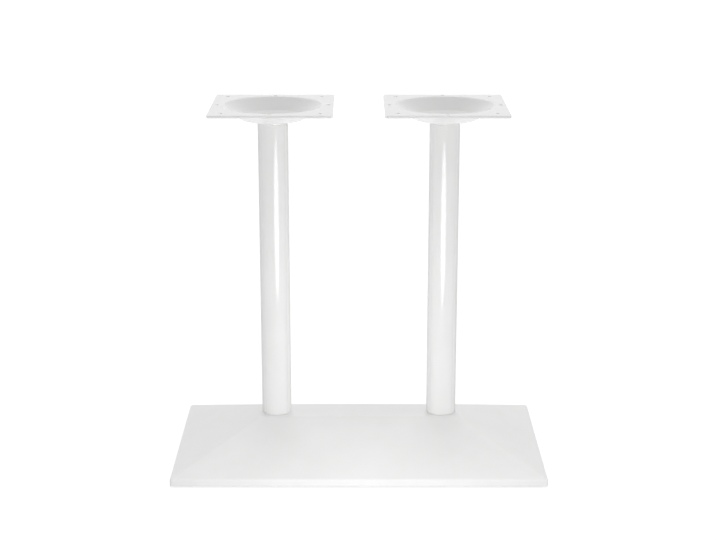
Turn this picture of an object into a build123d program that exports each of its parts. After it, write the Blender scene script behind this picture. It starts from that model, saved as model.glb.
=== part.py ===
from build123d import *
from math import atan, cos, pi, tan

# Twin-column table frame: a hipped sheet-steel base, two round columns and two
# dished top plates that a table top is screwed to. Millimetres, floor at z = 0,
# +X along the base, -Y to the front.

# Whole frame
overall_height = 725
column_spacing = 340

# Base cover, pressed from one sheet
cover_length = 745
cover_width = 415
cover_height = 81
cover_sheet = 2
cover_corner_radius = 5
floor_gap = 3
rim_height = 14
fold_radius = 5
plateau_margin = 6
plateau_corner_radius = 7
plateau_edge_radius = 6

# Columns and the discs that close their ends
column_diameter = 60
column_wall = 2
column_chamfer = 1
disc_thickness = 6
disc_fit = 0.1

# Top plates, each with a bowl pressed into its middle
plate_size = 240
plate_thickness = 5
plate_corner_radius = 6
plate_edge_chamfer = 0.6
plate_flange = 22.5
bowl_wall_depth = 21.5
bowl_floor_drop = 7.5
bowl_floor_run = 27.5
bowl_lip_radius = 11
bowl_fold_radius = 10
bowl_seat_radius = 12
bowl_seat_margin = 4
screw_hole_diameter = 7.5
corner_hole_inset = 25
side_hole_inset = 10

# Ballast inside the cover and the tubes that stand on it
ballast_thickness = 6
ballast_clearance = 1
ballast_corner_radius = 14
support_wall = 3

# Tie rods with their washers and nuts
rod_diameter = 10
rod_clearance = 0.5
rod_bottom_end = 3
rod_top_end = 1.5
rod_chamfer = 1
thread_fit = 0.1
washer_diameter = 30
washer_thickness = 2
nut_width = 17
bottom_nut_height = 8
top_nut_height = 5

# Glides under the corners, each held by one pan-head screw
glide_height = 16
glide_foot_diameter = 34
glide_neck_diameter = 26
glide_foot_height = 6
glide_edge_radius = 2
glide_inset = 55
glide_recess_diameter = 12
glide_recess_depth = 8
glide_screw_diameter = 5
glide_screw_fit = 0.1
glide_screw_end = 1.5
glide_screw_head_diameter = 9.5
glide_screw_head_height = 3.6
glide_screw_head_chamfer = 1

# Heights above the floor
fold_level = floor_gap + rim_height
plateau_level = floor_gap + cover_height
ballast_level = glide_height
support_level = ballast_level + ballast_thickness
plate_level = overall_height - plate_thickness
bowl_depth = bowl_wall_depth + bowl_floor_drop
bowl_seat_level = overall_height - bowl_depth
column_top_level = bowl_seat_level - plate_thickness

# The flat top of the cover leaves an even margin round both column feet
plateau_length = column_spacing + column_diameter + 2 * plateau_margin
plateau_width = column_diameter + 2 * plateau_margin
slope_rise = plateau_level - fold_level
slope_run = (cover_width - plateau_width) / 2
slope_angle = atan(slope_rise / slope_run)


def inside_half(outer_half, plateau_half, level):
    """Half the room inside the cover at a level, across one pair of sides."""
    slope = atan(slope_rise / (outer_half - plateau_half))
    under_slope = outer_half - (level + cover_sheet / cos(slope) - fold_level) / tan(slope)
    return min(outer_half - cover_sheet, under_slope)


ballast_length = 2 * (inside_half(cover_length / 2, plateau_length / 2, support_level) - ballast_clearance)
ballast_width = 2 * (inside_half(cover_width / 2, plateau_width / 2, support_level) - ballast_clearance)

# Places shared by the pieces
columns = {"left": -column_spacing / 2, "right": column_spacing / 2}
column_centres = [(x, 0) for x in columns.values()]
glide_x = cover_length / 2 - glide_inset
glide_y = cover_width / 2 - glide_inset
glides = {
    "front_left": (-glide_x, -glide_y),
    "front_right": (glide_x, -glide_y),
    "back_left": (-glide_x, glide_y),
    "back_right": (glide_x, glide_y),
}

rod_hole_radius = rod_diameter / 2 + rod_clearance
thread_radius = rod_diameter / 2 + thread_fit
glide_screw_radius = glide_screw_diameter / 2
glide_hole_radius = glide_screw_radius + glide_screw_fit

# The bowl's steep wall ends at a fold, and a shallow floor goes on down to its seat
bowl_rim = plate_size / 2 - plate_flange
bowl_seat = column_diameter / 2 + bowl_seat_margin
bowl_fold = bowl_seat + bowl_floor_run
bowl_join = bowl_rim + bowl_lip_radius


def finish(piece, name):
    """Name a finished piece and write it to its own file."""
    piece.part.label = name
    export_step(piece.part, f"parts/{name}.step")


def make_ring(name, x, bottom, top, outer_radius, inner_radius):
    """Upright round piece with a bore, such as a tube, a disc or a washer."""
    with BuildPart() as ring:
        with BuildSketch(Plane((x, 0, bottom))):
            Circle(outer_radius)
            Circle(inner_radius, mode=Mode.SUBTRACT)
        extrude(amount=top - bottom)
    finish(ring, name)


def make_column(name, x):
    """Round tube between cover and top plate, its outer edges broken at both ends."""
    with BuildPart() as column:
        with BuildSketch(Plane((x, 0, plateau_level))):
            Circle(column_radius)
            Circle(column_radius - column_wall, mode=Mode.SUBTRACT)
        extrude(amount=column_top_level - plateau_level)
        outer_edges = column.edges().filter_by(GeomType.CIRCLE).sort_by(SortBy.RADIUS)[2:]
        chamfer(outer_edges, column_chamfer)
    finish(column, name)


def make_nut(name, x, bottom, height):
    """Plain hexagon nut on a tie rod."""
    with BuildPart() as nut:
        with BuildSketch(Plane((x, 0, bottom))):
            RegularPolygon(nut_width / 2, 6, major_radius=False)
            Circle(thread_radius, mode=Mode.SUBTRACT)
        extrude(amount=height)
    finish(nut, name)


def make_tie_rod(name, x, bottom, top):
    """Rod through ballast plate, cover, column and top plate."""
    with BuildPart() as rod:
        with BuildSketch(Plane((x, 0, bottom))):
            Circle(rod_diameter / 2)
        extrude(amount=top - bottom)
        chamfer(rod.edges().filter_by(GeomType.CIRCLE), rod_chamfer)
    finish(rod, name)


def make_top_plate(name, x):
    """Square plate with a round bowl, screw holes and a hole for the tie rod."""
    with BuildPart() as plate:
        with BuildSketch(Plane((x, 0, plate_level))):
            RectangleRounded(plate_size, plate_size, plate_corner_radius)
        extrude(amount=plate_thickness)
        chamfer(plate.edges().filter_by(Axis.Z, reverse=True), plate_edge_chamfer)
        with BuildSketch(Plane((x, 0, plate_level))):
            Circle(bowl_join)
        extrude(amount=plate_thickness, mode=Mode.SUBTRACT)
        with BuildSketch(Plane((x, 0, overall_height), x_dir=(1, 0, 0), z_dir=(0, -1, 0))):
            with BuildLine() as profile:
                Polyline(
                    (bowl_join, 0),
                    (bowl_rim, 0),
                    (bowl_fold, -bowl_wall_depth),
                    (bowl_seat, -bowl_depth),
                    (rod_hole_radius, -bowl_depth),
                )
                seat, fold, lip = profile.vertices().sort_by(Axis.X)[1:4]
                fillet(lip, bowl_lip_radius)
                fillet(fold, bowl_fold_radius)
                fillet(seat, bowl_seat_radius)
                offset(amount=plate_thickness, side=Side.LEFT)
            make_face()
        revolve(axis=Axis((x, 0, 0), (0, 0, 1)))
        corner_pitch = plate_size - 2 * corner_hole_inset
        with Locations(Plane((x, 0, overall_height))):
            with GridLocations(corner_pitch, corner_pitch, 2, 2):
                Hole(screw_hole_diameter / 2, plate_thickness)
            with PolarLocations(plate_size / 2 - side_hole_inset, 4):
                Hole(screw_hole_diameter / 2, plate_thickness)
    finish(plate, name)


def make_cover_block(inset):
    """Hipped block with rounded folds, its faces an inset inside the cover's outside."""
    block_fold = fold_level - inset * tan(pi / 4 - slope_angle / 2)
    plateau_inset = inset * tan(slope_angle / 2)
    foot_size = (cover_length - 2 * inset, cover_width - 2 * inset, cover_corner_radius - inset)
    with BuildPart() as block:
        with BuildSketch(Plane.XY.offset(floor_gap)):
            RectangleRounded(*foot_size)
        extrude(amount=block_fold - floor_gap)
        with BuildSketch(Plane.XY.offset(block_fold)) as slope_foot:
            RectangleRounded(*foot_size)
        with BuildSketch(Plane.XY.offset(plateau_level - inset)) as slope_head:
            RectangleRounded(
                plateau_length - 2 * plateau_inset,
                plateau_width - 2 * plateau_inset,
                plateau_corner_radius - plateau_inset,
            )
        loft(sections=[slope_foot.sketch, slope_head.sketch], ruled=True)
        fillet(block.edges().filter_by_position(Axis.Z, block_fold, block_fold), fold_radius - inset)
        fillet(block.edges().group_by(Axis.Z)[-1], plateau_edge_radius - inset)
    return block.part


def make_glide(name, x, y):
    """Plastic glide with a wide foot, a narrower neck and a screw recess."""
    foot_radius = glide_foot_diameter / 2
    neck_radius = glide_neck_diameter / 2
    recess_radius = glide_recess_diameter / 2
    with BuildPart() as glide:
        with BuildSketch(Plane((x, y, 0), x_dir=(1, 0, 0), z_dir=(0, -1, 0))) as section:
            with BuildLine():
                Polyline(
                    (glide_hole_radius, glide_recess_depth),
                    (recess_radius, glide_recess_depth),
                    (recess_radius, 0),
                    (foot_radius, 0),
                    (foot_radius, glide_foot_height),
                    (neck_radius, glide_height),
                    (glide_hole_radius, glide_height),
                    close=True,
                )
            make_face()
            fillet(section.vertices().group_by(Axis.Y)[0].sort_by(Axis.X)[-1], glide_edge_radius)
        revolve(axis=Axis((x, y, 0), (0, 0, 1)))
    finish(glide, name)


# Base cover: the hipped block, hollowed from below, with a hole for each tie rod
with BuildPart() as base_cover:
    add(make_cover_block(0))
    add(make_cover_block(cover_sheet), mode=Mode.SUBTRACT)
    with Locations(Plane.XY.offset(plateau_level)):
        with Locations(*column_centres):
            Hole(rod_hole_radius, cover_sheet)
finish(base_cover, "base_cover")

# Ballast plate: fills the cover's plan, drilled for the rods and the glides' screws
with BuildPart() as ballast_plate:
    with BuildSketch(Plane.XY.offset(ballast_level)):
        RectangleRounded(ballast_length, ballast_width, ballast_corner_radius)
        with Locations(*column_centres):
            Circle(rod_hole_radius, mode=Mode.SUBTRACT)
        with Locations(*glides.values()):
            Circle(glide_hole_radius, mode=Mode.SUBTRACT)
    extrude(amount=ballast_thickness)
finish(ballast_plate, "ballast_plate")

# One stack of pieces on each tie rod, from the ballast plate up to the bowl
column_radius = column_diameter / 2
disc_radius = column_radius - column_wall - disc_fit
washer_radius = washer_diameter / 2
bottom_nut_top = ballast_level - washer_thickness
bottom_nut_level = bottom_nut_top - bottom_nut_height
top_nut_level = bowl_seat_level + washer_thickness
support_top = plateau_level - cover_sheet
lower_disc_top = plateau_level + disc_thickness
upper_disc_level = column_top_level - disc_thickness
rod_bottom = bottom_nut_level - rod_bottom_end
rod_top = top_nut_level + top_nut_height + rod_top_end
rings = {
    "support_tube": (support_level, support_top, column_radius, column_radius - support_wall),
    "column_lower_disc": (plateau_level, lower_disc_top, disc_radius, rod_hole_radius),
    "column_upper_disc": (upper_disc_level, column_top_level, disc_radius, rod_hole_radius),
    "bottom_washer": (bottom_nut_top, ballast_level, washer_radius, rod_hole_radius),
    "top_washer": (bowl_seat_level, top_nut_level, washer_radius, rod_hole_radius),
}
for side, x in columns.items():
    for ring_name, ring_sizes in rings.items():
        make_ring(f"{side}_{ring_name}", x, *ring_sizes)
    make_column(f"{side}_column", x)
    make_nut(f"{side}_bottom_nut", x, bottom_nut_level, bottom_nut_height)
    make_nut(f"{side}_top_nut", x, top_nut_level, top_nut_height)
    make_tie_rod(f"{side}_tie_rod", x, rod_bottom, rod_top)
    make_top_plate(f"{side}_top_plate", x)

# Glides under the four corners
for place, (x, y) in glides.items():
    make_glide(f"{place}_glide", x, y)

# The four glide screws: pan heads in the recesses, shanks up into the ballast plate
with BuildPart() as glide_screws:
    with BuildSketch(Plane.XY.offset(glide_recess_depth - glide_screw_head_height)):
        with Locations(*glides.values()):
            Circle(glide_screw_head_diameter / 2)
    extrude(amount=glide_screw_head_height)
    chamfer(glide_screws.edges().group_by(Axis.Z)[0], glide_screw_head_chamfer)
    with BuildSketch(Plane.XY.offset(glide_recess_depth)):
        with Locations(*glides.values()):
            Circle(glide_screw_radius)
    extrude(amount=support_level + glide_screw_end - glide_recess_depth)
finish(glide_screws, "glide_screws")
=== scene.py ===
"""Looks of a white twin-column table frame: powder coat, zinc fasteners, soft studio light."""

import math

import bmesh
import bpy
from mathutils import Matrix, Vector


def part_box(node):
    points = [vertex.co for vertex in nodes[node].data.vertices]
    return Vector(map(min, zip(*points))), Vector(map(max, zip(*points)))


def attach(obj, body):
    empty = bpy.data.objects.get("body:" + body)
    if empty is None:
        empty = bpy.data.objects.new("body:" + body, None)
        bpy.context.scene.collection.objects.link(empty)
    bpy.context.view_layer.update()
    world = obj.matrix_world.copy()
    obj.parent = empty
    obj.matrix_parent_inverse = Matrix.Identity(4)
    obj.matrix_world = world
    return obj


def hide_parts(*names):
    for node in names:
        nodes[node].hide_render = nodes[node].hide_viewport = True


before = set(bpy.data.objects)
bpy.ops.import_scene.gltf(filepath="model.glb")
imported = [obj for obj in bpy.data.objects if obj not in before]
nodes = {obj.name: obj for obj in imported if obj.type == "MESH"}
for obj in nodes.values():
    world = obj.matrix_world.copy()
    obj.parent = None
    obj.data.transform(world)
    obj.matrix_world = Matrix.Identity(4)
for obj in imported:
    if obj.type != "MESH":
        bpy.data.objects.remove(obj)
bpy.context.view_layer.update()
ROOT = "root"
SIDES = ("left", "right")
ENDS = ("top", "bottom")
PLACES = ("front_left", "front_right", "back_left", "back_right")

# Camera: distance and height in metres, pitch below the horizon in degrees, lens and sensor in millimetres
CAMERA_X = -0.00175
CAMERA_DISTANCE = 3.1129
CAMERA_HEIGHT = 1.2755
CAMERA_PITCH = 15.932
CAMERA_LENS = 80.31
SENSOR_WIDTH = 36.0

# Finishes: linear colours, and the middle part of a noise pattern that is spread over their range
WHITES = ((0.835, 0.835, 0.83), (0.85, 0.85, 0.846))
BLACKS = ((0.022, 0.022, 0.024), (0.03, 0.03, 0.032))
ZINCS = ((0.56, 0.58, 0.60), (0.67, 0.68, 0.69))
PLASTICS = ((0.017, 0.017, 0.018), (0.026, 0.026, 0.027))
COLOUR_NOISE = (0.35, 0.65)
GLOSS_NOISE = (0.3, 0.7)
GRAZING_FACING = (0.25, 0.6)
GRAZING_ROUGHNESS = 0.6

# Fasteners, in metres
THREAD_PITCH = 0.0015
THREAD_DEPTH = 0.0009
THREAD_LENGTH = 0.030
THREAD_ROWS = 10
ROD_CHAMFER = 0.001
ROD_POINTS = 36
NUT_CHAMFER_ANGLE = math.radians(30.0)
NUT_CHAMFER_SHARE = 0.95
NUT_BORE_CHAMFER = 0.0006
NUT_BORE_FIT = 0.0001
NUT_POINTS = 72
WASHER_BEVEL = 0.0003
WASHER_BORE_FIT = 0.0005
WASHER_POINTS = 64
SCREW_RADIUS = 0.0025
SCREW_HEAD_HEIGHT = 0.0036
SCREW_HEAD_BEVEL = 0.0003
SCREW_TIP_HEIGHT = 0.0008
SCREW_TIP_INSET = 0.0006
SCREW_POINTS = 48
RECESS_SPAN = 0.0052
RECESS_WIDTH = 0.0011
RECESS_DEPTH = 0.0019
RECESS_TAPER = 0.45
RECESS_OVERCUT = 0.0005
SHARP_ANGLE = math.radians(25.0)

# Soft surround: broad lobes of light, each with its direction and strength
LOBE_SHARPNESS = 8.0
LOBES = (
    ((0.0, 0.99, 0.14), 0.95),
    ((0.0, 0.87, 0.5), 2.1),
    ((0.0, 0.0, 1.0), 1.38),
    ((-0.97, 0.0, 0.26), 1.47),
    ((0.97, 0.0, 0.26), 1.8),
    ((0.0, -0.71, 0.71), 0.87),
)

# Lamps in front: places and sizes in metres
GLOSS_PLACE = (0.12, -0.70, 0.315)
GLOSS_SIZE = (0.48, 0.405)
GLOSS_RADIANCE = 5.5
FILL_PLACE = (0.03, -0.90, 0.19)
FILL_SIZE = (0.40, 0.30)
FILL_RADIANCE = 10.0

# Floor: half its width in metres, its grey for light, and for the camera its grey in shadow and its glow
FLOOR_HALF = 30.0
FLOOR_GREY = 0.85
FLOOR_SHADOW_GREY = 0.3
FLOOR_GLOW = 0.8


def new_material(name):
    """A node material with its Principled shader."""
    material = bpy.data.materials.new(name)
    material.use_nodes = True
    tree = material.node_tree
    return material, tree, tree.nodes["Principled BSDF"]


def add_math(tree, operation, *values):
    """Result of a Math node whose values are sockets or numbers."""
    node = tree.nodes.new("ShaderNodeMath")
    node.operation = operation
    for socket, value in zip(node.inputs, values):
        if isinstance(value, bpy.types.NodeSocket):
            tree.links.new(value, socket)
        else:
            socket.default_value = value
    return node.outputs[0]


def add_map(tree, value, source, target, curve="LINEAR"):
    """A value carried from one range to another."""
    node = tree.nodes.new("ShaderNodeMapRange")
    node.interpolation_type = curve
    for name, number in zip(("From Min", "From Max", "To Min", "To Max"), (*source, *target)):
        node.inputs[name].default_value = number
    tree.links.new(value, node.inputs["Value"])
    return node.outputs["Result"]


def add_noise(tree, scale, detail=2.0):
    """Noise over the object's own coordinates, with cells about 1/scale metres wide."""
    coordinates = tree.nodes.new("ShaderNodeTexCoord")
    noise = tree.nodes.new("ShaderNodeTexNoise")
    noise.inputs["Scale"].default_value = scale
    noise.inputs["Detail"].default_value = detail
    tree.links.new(coordinates.outputs["Object"], noise.inputs["Vector"])
    return noise.outputs["Fac"]


def vary_roughness(tree, shader, scale, low, high):
    """Roughness that drifts between two values over the surface."""
    drift = add_map(tree, add_noise(tree, scale), GLOSS_NOISE, (low, high))
    tree.links.new(drift, shader.inputs["Roughness"])


def vary_colour(tree, shader, scale, first, second):
    """Colour that drifts between two close tones."""
    ramp = tree.nodes.new("ShaderNodeValToRGB")
    for stop, place, colour in zip(ramp.color_ramp.elements, COLOUR_NOISE, (first, second)):
        stop.position = place
        stop.color = (*colour, 1.0)
    tree.links.new(add_noise(tree, scale), ramp.inputs["Fac"])
    tree.links.new(ramp.outputs["Color"], shader.inputs["Base Color"])


def add_bump(tree, shader, height, distance, strength):
    """Fine relief from a height pattern."""
    bump = tree.nodes.new("ShaderNodeBump")
    bump.inputs["Distance"].default_value = distance
    bump.inputs["Strength"].default_value = strength
    tree.links.new(height, bump.inputs["Height"])
    tree.links.new(bump.outputs["Normal"], shader.inputs["Normal"])


def make_coat(name, colours, roughness, peel):
    """Powder coat: nearly even colour, a drifting gloss and slight orange peel."""
    material, tree, shader = new_material(name)
    vary_colour(tree, shader, 18.0, *colours)
    vary_roughness(tree, shader, 35.0, *roughness)
    add_bump(tree, shader, add_noise(tree, 600.0), 0.00004, peel)
    return material


def blur_grazing(material):
    """Gloss that softens towards grazing angles, where lamps would burn out a tube's edges."""
    tree = material.node_tree
    roughness = tree.nodes["Principled BSDF"].inputs["Roughness"]
    weight = tree.nodes.new("ShaderNodeLayerWeight")
    weight.inputs["Blend"].default_value = 0.5
    blur = add_map(tree, weight.outputs["Facing"], GRAZING_FACING, (0.0, GRAZING_ROUGHNESS), "SMOOTHSTEP")
    larger = add_math(tree, "MAXIMUM", roughness.links[0].from_socket, blur)
    tree.links.new(larger, roughness)


def make_zinc(name):
    """Zinc plating: pale bluish metal with a faint mottled gloss."""
    material, tree, shader = new_material(name)
    shader.inputs["Metallic"].default_value = 1.0
    vary_colour(tree, shader, 160.0, *ZINCS)
    vary_roughness(tree, shader, 250.0, 0.25, 0.42)
    add_bump(tree, shader, add_noise(tree, 1800.0, 3.0), 0.00003, 0.3)
    return material


def make_plastic(name):
    """Moulded black plastic with a fine spark-eroded grain."""
    material, tree, shader = new_material(name)
    vary_colour(tree, shader, 90.0, *PLASTICS)
    vary_roughness(tree, shader, 120.0, 0.5, 0.65)
    add_bump(tree, shader, add_noise(tree, 2500.0), 0.00004, 0.4)
    return material


base_coat = make_coat("white_coat_base", WHITES, (0.34, 0.40), 0.5)
column_coat = make_coat("white_coat_column", WHITES, (0.10, 0.13), 0.03)
blur_grazing(column_coat)
plate_coat = make_coat("white_coat_plate", WHITES, (0.13, 0.17), 0.2)
black_coat = make_coat("black_coat", BLACKS, (0.5, 0.65), 0.8)
zinc = make_zinc("zinc_plate")
plastic = make_plastic("glide_plastic")


def dress(node, material):
    """Give a CAD node its finish."""
    slots = nodes[node].data.materials
    slots.clear()
    slots.append(material)


dress("base_cover", base_coat)
dress("ballast_plate", black_coat)
dress("glide_screws", zinc)
for side in SIDES:
    dress(f"{side}_column", column_coat)
    dress(f"{side}_top_plate", plate_coat)
    dress(f"{side}_support_tube", black_coat)
    for part in ("column_lower_disc", "column_upper_disc", "tie_rod"):
        dress(f"{side}_{part}", zinc)
    for end in ENDS:
        dress(f"{side}_{end}_washer", zinc)
        dress(f"{side}_{end}_nut", zinc)
for place in PLACES:
    dress(f"{place}_glide", plastic)


def add_piece(name, mesh, material, slot, *replaced):
    """Put a finished mesh in the scene in place of CAD nodes."""
    mesh.materials.append(material)
    mesh.shade_smooth()
    mesh.set_sharp_from_angle(angle=SHARP_ANGLE)
    piece = bpy.data.objects.new(name, mesh)
    bpy.context.scene.collection.objects.link(piece)
    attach(piece, ROOT)
    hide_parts(*replaced)


def middle(low, high):
    """Centre of a box in plan."""
    return (low[0] + high[0]) / 2, (low[1] + high[1]) / 2


def rod_radius(side):
    """Radius of a tie rod."""
    low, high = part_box(f"{side}_tie_rod")
    return (high[0] - low[0]) / 2


def add_band(mesh, low, high):
    """Faces between two loops of equally many vertices."""
    for i in range(len(low)):
        j = (i + 1) % len(low)
        mesh.faces.new((low[i], low[j], high[j], high[i]))


def finish_mesh(mesh, name):
    """Mesh data with outward normals from an edited mesh."""
    bmesh.ops.recalc_face_normals(mesh, faces=mesh.faces)
    data = bpy.data.meshes.new(name)
    mesh.to_mesh(data)
    mesh.free()
    return data


def loft_mesh(name, loops, ring=False):
    """Mesh through equal loops: a ring that closes on itself, or a bar with flat ends."""
    mesh = bmesh.new()
    rows = [[mesh.verts.new(point) for point in loop] for loop in loops]
    pairs = list(zip(rows, rows[1:]))
    if ring:
        pairs.append((rows[-1], rows[0]))
    else:
        mesh.faces.new(rows[0])
        mesh.faces.new(rows[-1])
    for low, high in pairs:
        add_band(mesh, low, high)
    return finish_mesh(mesh, name)


def circle(centre, radius, level, count):
    """Points of a level circle; the radius may be a function of the angle."""
    points = []
    for i in range(count):
        angle = 2.0 * math.pi * i / count
        reach = radius(angle) if callable(radius) else radius
        points.append((centre[0] + reach * math.cos(angle), centre[1] + reach * math.sin(angle), level))
    return points


def make_rod(side):
    """Tie rod with a cut thread at both ends and a plain shank between."""
    low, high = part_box(f"{side}_tie_rod")
    centre = middle(low, high)
    full = rod_radius(side)

    def radius_at(level):
        from_end = min(level - low[2], high[2] - level)
        limit = full - max(0.0, ROD_CHAMFER - from_end)
        run_out = min(1.0, max(0.0, (THREAD_LENGTH - from_end) / (2.0 * THREAD_PITCH)))

        def radius(angle):
            phase = ((level - low[2]) / THREAD_PITCH - angle / (2.0 * math.pi)) % 1.0
            flank = max(0.0, min(1.0, 1.25 - 2.5 * abs(2.0 * phase - 1.0)))
            return min(limit, full - run_out * THREAD_DEPTH * flank)
        return radius

    step = THREAD_PITCH / THREAD_ROWS
    rows = int(THREAD_LENGTH / step)
    levels = [low[2] + i * step for i in range(rows + 1)]
    levels += [high[2] - (rows - i) * step for i in range(rows + 1)]
    loops = [circle(centre, radius_at(level), level, ROD_POINTS) for level in levels]
    mesh = loft_mesh(f"{side}_tie_rod_thread", loops)
    add_piece(f"{side}_tie_rod_threaded", mesh, zinc, "zinc_steel", f"{side}_tie_rod")


def make_nut(side, end):
    """Hexagon nut with chamfered corners and bore."""
    low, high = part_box(f"{side}_{end}_nut")
    centre = middle(low, high)
    flat = (high[1] - low[1]) / 2
    bore = rod_radius(side) + NUT_BORE_FIT
    crown = flat * NUT_CHAMFER_SHARE
    slope = math.tan(NUT_CHAMFER_ANGLE)
    sixth = math.pi / 3.0

    def hexagon(angle):
        return flat / math.cos(angle % sixth - sixth / 2.0)

    def corner_loop(level, sign):
        points = []
        for x, y, _ in circle(centre, hexagon, level, NUT_POINTS):
            reach = math.hypot(x - centre[0], y - centre[1])
            points.append((x, y, level + sign * (reach - crown) * slope))
        return points

    def ring(radius, level):
        return circle(centre, radius, level, NUT_POINTS)

    loops = [
        ring(bore, low[2] + NUT_BORE_CHAMFER),
        ring(bore + NUT_BORE_CHAMFER, low[2]),
        ring(crown, low[2]),
        corner_loop(low[2], 1.0),
        corner_loop(high[2], -1.0),
        ring(crown, high[2]),
        ring(bore + NUT_BORE_CHAMFER, high[2]),
        ring(bore, high[2] - NUT_BORE_CHAMFER),
    ]
    mesh = loft_mesh(f"{side}_{end}_nut_body", loops, ring=True)
    add_piece(f"{side}_{end}_hex_nut", mesh, zinc, "zinc_steel", f"{side}_{end}_nut")


def make_washer(side, end):
    """Stamped washer with rolled edges."""
    low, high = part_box(f"{side}_{end}_washer")
    centre = middle(low, high)
    outer = (high[0] - low[0]) / 2
    inner = rod_radius(side) + WASHER_BORE_FIT
    bevel = WASHER_BEVEL
    profile = [
        (inner, low[2] + bevel), (inner + bevel, low[2]),
        (outer - bevel, low[2]), (outer, low[2] + bevel),
        (outer, high[2] - bevel), (outer - bevel, high[2]),
        (inner + bevel, high[2]), (inner, high[2] - bevel),
    ]
    loops = [circle(centre, *point, WASHER_POINTS) for point in profile]
    mesh = loft_mesh(f"{side}_{end}_washer_body", loops, ring=True)
    add_piece(f"{side}_{end}_flat_washer", mesh, zinc, "zinc_steel", f"{side}_{end}_washer")


def make_recess_cutter(centre, level):
    """Tapered cross that cuts a screw head's recess upwards from its face."""
    cutter = bmesh.new()
    for along_x in (True, False):
        ends = []
        for depth, share in ((-RECESS_OVERCUT, 1.0), (RECESS_DEPTH, RECESS_TAPER)):
            half_long = RECESS_SPAN / 2.0 * share
            half_wide = RECESS_WIDTH / 2.0
            dx, dy = (half_long, half_wide) if along_x else (half_wide, half_long)
            ends.append([
                cutter.verts.new((centre[0] + sx * dx, centre[1] + sy * dy, level + depth))
                for sx, sy in ((-1, -1), (1, -1), (1, 1), (-1, 1))
            ])
        for end in ends:
            cutter.faces.new(end)
        add_band(cutter, *ends)
    return bpy.data.objects.new("recess_cutter", finish_mesh(cutter, "recess_cutter"))


def make_screw_mesh(centre, low, high, head_radius):
    """Pan-head screw, head down, with a cross recess."""
    head_top = low + SCREW_HEAD_HEIGHT
    profile = [(head_radius * 0.5, low)]
    for degrees in range(0, 91, 15):
        turn = math.radians(degrees)
        radius = head_radius * (0.62 + 0.38 * math.sin(turn))
        profile.append((radius, low + SCREW_HEAD_HEIGHT * 0.5 * (1.0 - math.cos(turn))))
    profile += [
        (head_radius, head_top - SCREW_HEAD_BEVEL),
        (head_radius - SCREW_HEAD_BEVEL, head_top),
        (SCREW_RADIUS, head_top),
        (SCREW_RADIUS, high - SCREW_TIP_HEIGHT),
        (SCREW_RADIUS - SCREW_TIP_INSET, high),
    ]
    loops = [circle(centre, *point, SCREW_POINTS) for point in profile]
    body = bpy.data.objects.new("screw_body", loft_mesh("screw_body", loops))
    cutter = make_recess_cutter(centre, low)
    for thing in (body, cutter):
        bpy.context.scene.collection.objects.link(thing)
    cut = body.modifiers.new("recess", "BOOLEAN")
    cut.operation = "DIFFERENCE"
    cut.solver = "EXACT"
    cut.use_self = True
    cut.object = cutter
    graph = bpy.context.evaluated_depsgraph_get()
    mesh = bpy.data.meshes.new_from_object(body.evaluated_get(graph))
    for thing in (body, cutter):
        bpy.data.objects.remove(thing)
    return mesh


def make_screws():
    """The four glide screws as one set."""
    low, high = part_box("glide_screws")
    joined = bmesh.new()
    for place in PLACES:
        centre = middle(*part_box(f"{place}_glide"))
        outermost = high[0] if centre[0] > 0 else low[0]
        head_radius = abs(outermost - centre[0])
        joined.from_mesh(make_screw_mesh(centre, low[2], high[2], head_radius))
    mesh = bpy.data.meshes.new("glide_screw_set")
    joined.to_mesh(mesh)
    joined.free()
    add_piece("glide_screw_set", mesh, zinc, "zinc_steel", "glide_screws")


for side in SIDES:
    make_rod(side)
    for end in ENDS:
        make_nut(side, end)
        make_washer(side, end)
make_screws()


def add_seen_directly(tree):
    """1 for rays from the camera, a mirror or a glass, which show the background, and else 0."""
    path = tree.nodes.new("ShaderNodeLightPath")
    mirrored = add_math(tree, "MAXIMUM", path.outputs["Is Camera Ray"], path.outputs["Is Glossy Ray"])
    return add_math(tree, "MAXIMUM", mirrored, path.outputs["Is Transmission Ray"])


def add_background_switch(tree, lit, seen, output_type):
    """One shader for the light on the object, another where the background is seen directly."""
    mix = tree.nodes.new("ShaderNodeMixShader")
    output = tree.nodes.new(output_type)
    tree.links.new(add_seen_directly(tree), mix.inputs[0])
    tree.links.new(lit.outputs[0], mix.inputs[1])
    tree.links.new(seen.outputs[0], mix.inputs[2])
    tree.links.new(mix.outputs[0], output.inputs["Surface"])


def add_grey(tree, level):
    """Matt grey shader."""
    shader = tree.nodes.new("ShaderNodeBsdfDiffuse")
    shader.inputs["Color"].default_value = (level, level, level, 1.0)
    return shader


def make_floor():
    """Pale floor that is white to the camera and keeps a soft shadow."""
    mesh = bpy.data.meshes.new("floor")
    corners = [(FLOOR_HALF * x, FLOOR_HALF * y, 0.0) for x, y in ((-1, -1), (1, -1), (1, 1), (-1, 1))]
    mesh.from_pydata(corners, [], [(0, 1, 2, 3)])
    floor = bpy.data.objects.new("floor", mesh)
    bpy.context.scene.collection.objects.link(floor)
    material = bpy.data.materials.new("floor_white")
    material.use_nodes = True
    tree = material.node_tree
    tree.nodes.clear()
    glow = tree.nodes.new("ShaderNodeEmission")
    glow.inputs["Strength"].default_value = FLOOR_GLOW
    seen = tree.nodes.new("ShaderNodeAddShader")
    tree.links.new(add_grey(tree, FLOOR_SHADOW_GREY).outputs[0], seen.inputs[0])
    tree.links.new(glow.outputs[0], seen.inputs[1])
    add_background_switch(tree, add_grey(tree, FLOOR_GREY), seen, "ShaderNodeOutputMaterial")
    mesh.materials.append(material)


def add_white_background(tree):
    """White background shader."""
    shader = tree.nodes.new("ShaderNodeBackground")
    shader.inputs["Color"].default_value = (1.0, 1.0, 1.0, 1.0)
    return shader


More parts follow.
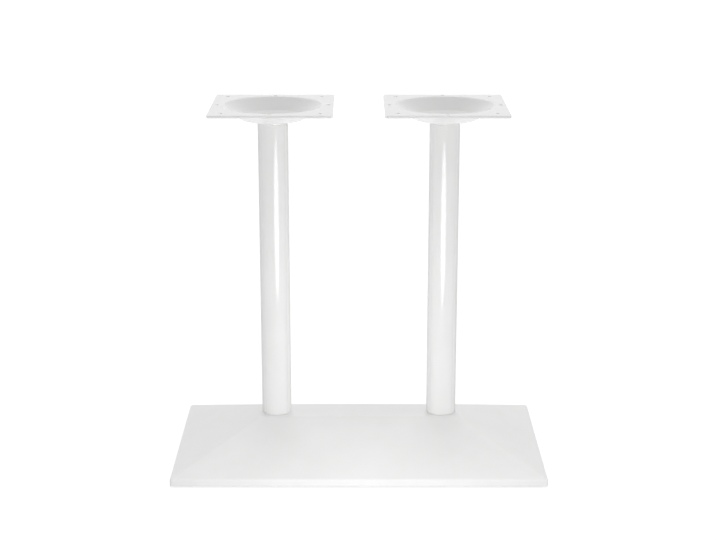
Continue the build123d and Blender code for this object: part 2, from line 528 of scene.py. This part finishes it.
def make_world():
    """Studio surround that is white to the camera."""
    world = bpy.data.worlds.new("studio")
    bpy.context.scene.world = world
    world.use_nodes = True
    tree = world.node_tree
    tree.nodes.clear()
    coordinates = tree.nodes.new("ShaderNodeTexCoord")
    level = 0.0
    for direction, strength in LOBES:
        toward = tree.nodes.new("ShaderNodeVectorMath")
        toward.operation = "DOT_PRODUCT"
        toward.inputs[1].default_value = Vector(direction).normalized()
        tree.links.new(coordinates.outputs["Generated"], toward.inputs[0])
        ahead = add_math(tree, "MAXIMUM", toward.outputs["Value"], 0.0)
        lobe = add_math(tree, "POWER", ahead, LOBE_SHARPNESS)
        level = add_math(tree, "MULTIPLY_ADD", lobe, strength, level)
    studio = add_white_background(tree)
    tree.links.new(level, studio.inputs["Strength"])
    add_background_switch(tree, studio, add_white_background(tree), "ShaderNodeOutputWorld")


def make_softbox(name, place, target, size, radiance):
    """Oval lamp of an even radiance that the camera doesn't see."""
    data = bpy.data.lights.new(name, "AREA")
    data.shape = "ELLIPSE"
    data.size, data.size_y = size
    data.energy = radiance * math.pi * math.pi / 4.0 * size[0] * size[1]
    lamp = bpy.data.objects.new(name, data)
    lamp.location = place
    lamp.rotation_euler = (Vector(target) - Vector(place)).to_track_quat("-Z", "Y").to_euler()
    lamp.visible_camera = False
    bpy.context.scene.collection.objects.link(lamp)
    return lamp


def make_camera():
    """Camera at the photograph's viewing angle."""
    data = bpy.data.cameras.new("camera")
    data.sensor_width = SENSOR_WIDTH
    data.lens = CAMERA_LENS
    camera = bpy.data.objects.new("camera", data)
    camera.location = (CAMERA_X, -CAMERA_DISTANCE, CAMERA_HEIGHT)
    camera.rotation_euler = (math.radians(90.0 - CAMERA_PITCH), 0.0, 0.0)
    bpy.context.scene.collection.objects.link(camera)
    return camera


make_floor()
make_world()

# A lamp that only draws the long reflections on the columns
columns = bpy.data.collections.new("columns")
for side in SIDES:
    columns.objects.link(nodes[f"{side}_column"])
gloss = make_softbox("front_gloss", GLOSS_PLACE, (0.0, 0.0, GLOSS_PLACE[2]), GLOSS_SIZE, GLOSS_RADIANCE)
gloss.visible_diffuse = False
gloss.light_linking.receiver_collection = columns

# Soft light on the front that reflections don't show
fill = make_softbox("front_fill", FILL_PLACE, (0.0, 0.0, FILL_PLACE[2]), FILL_SIZE, FILL_RADIANCE)
fill.visible_glossy = False

bpy.context.scene.camera = make_camera()
bpy.context.scene.view_settings.view_transform = "Standard"
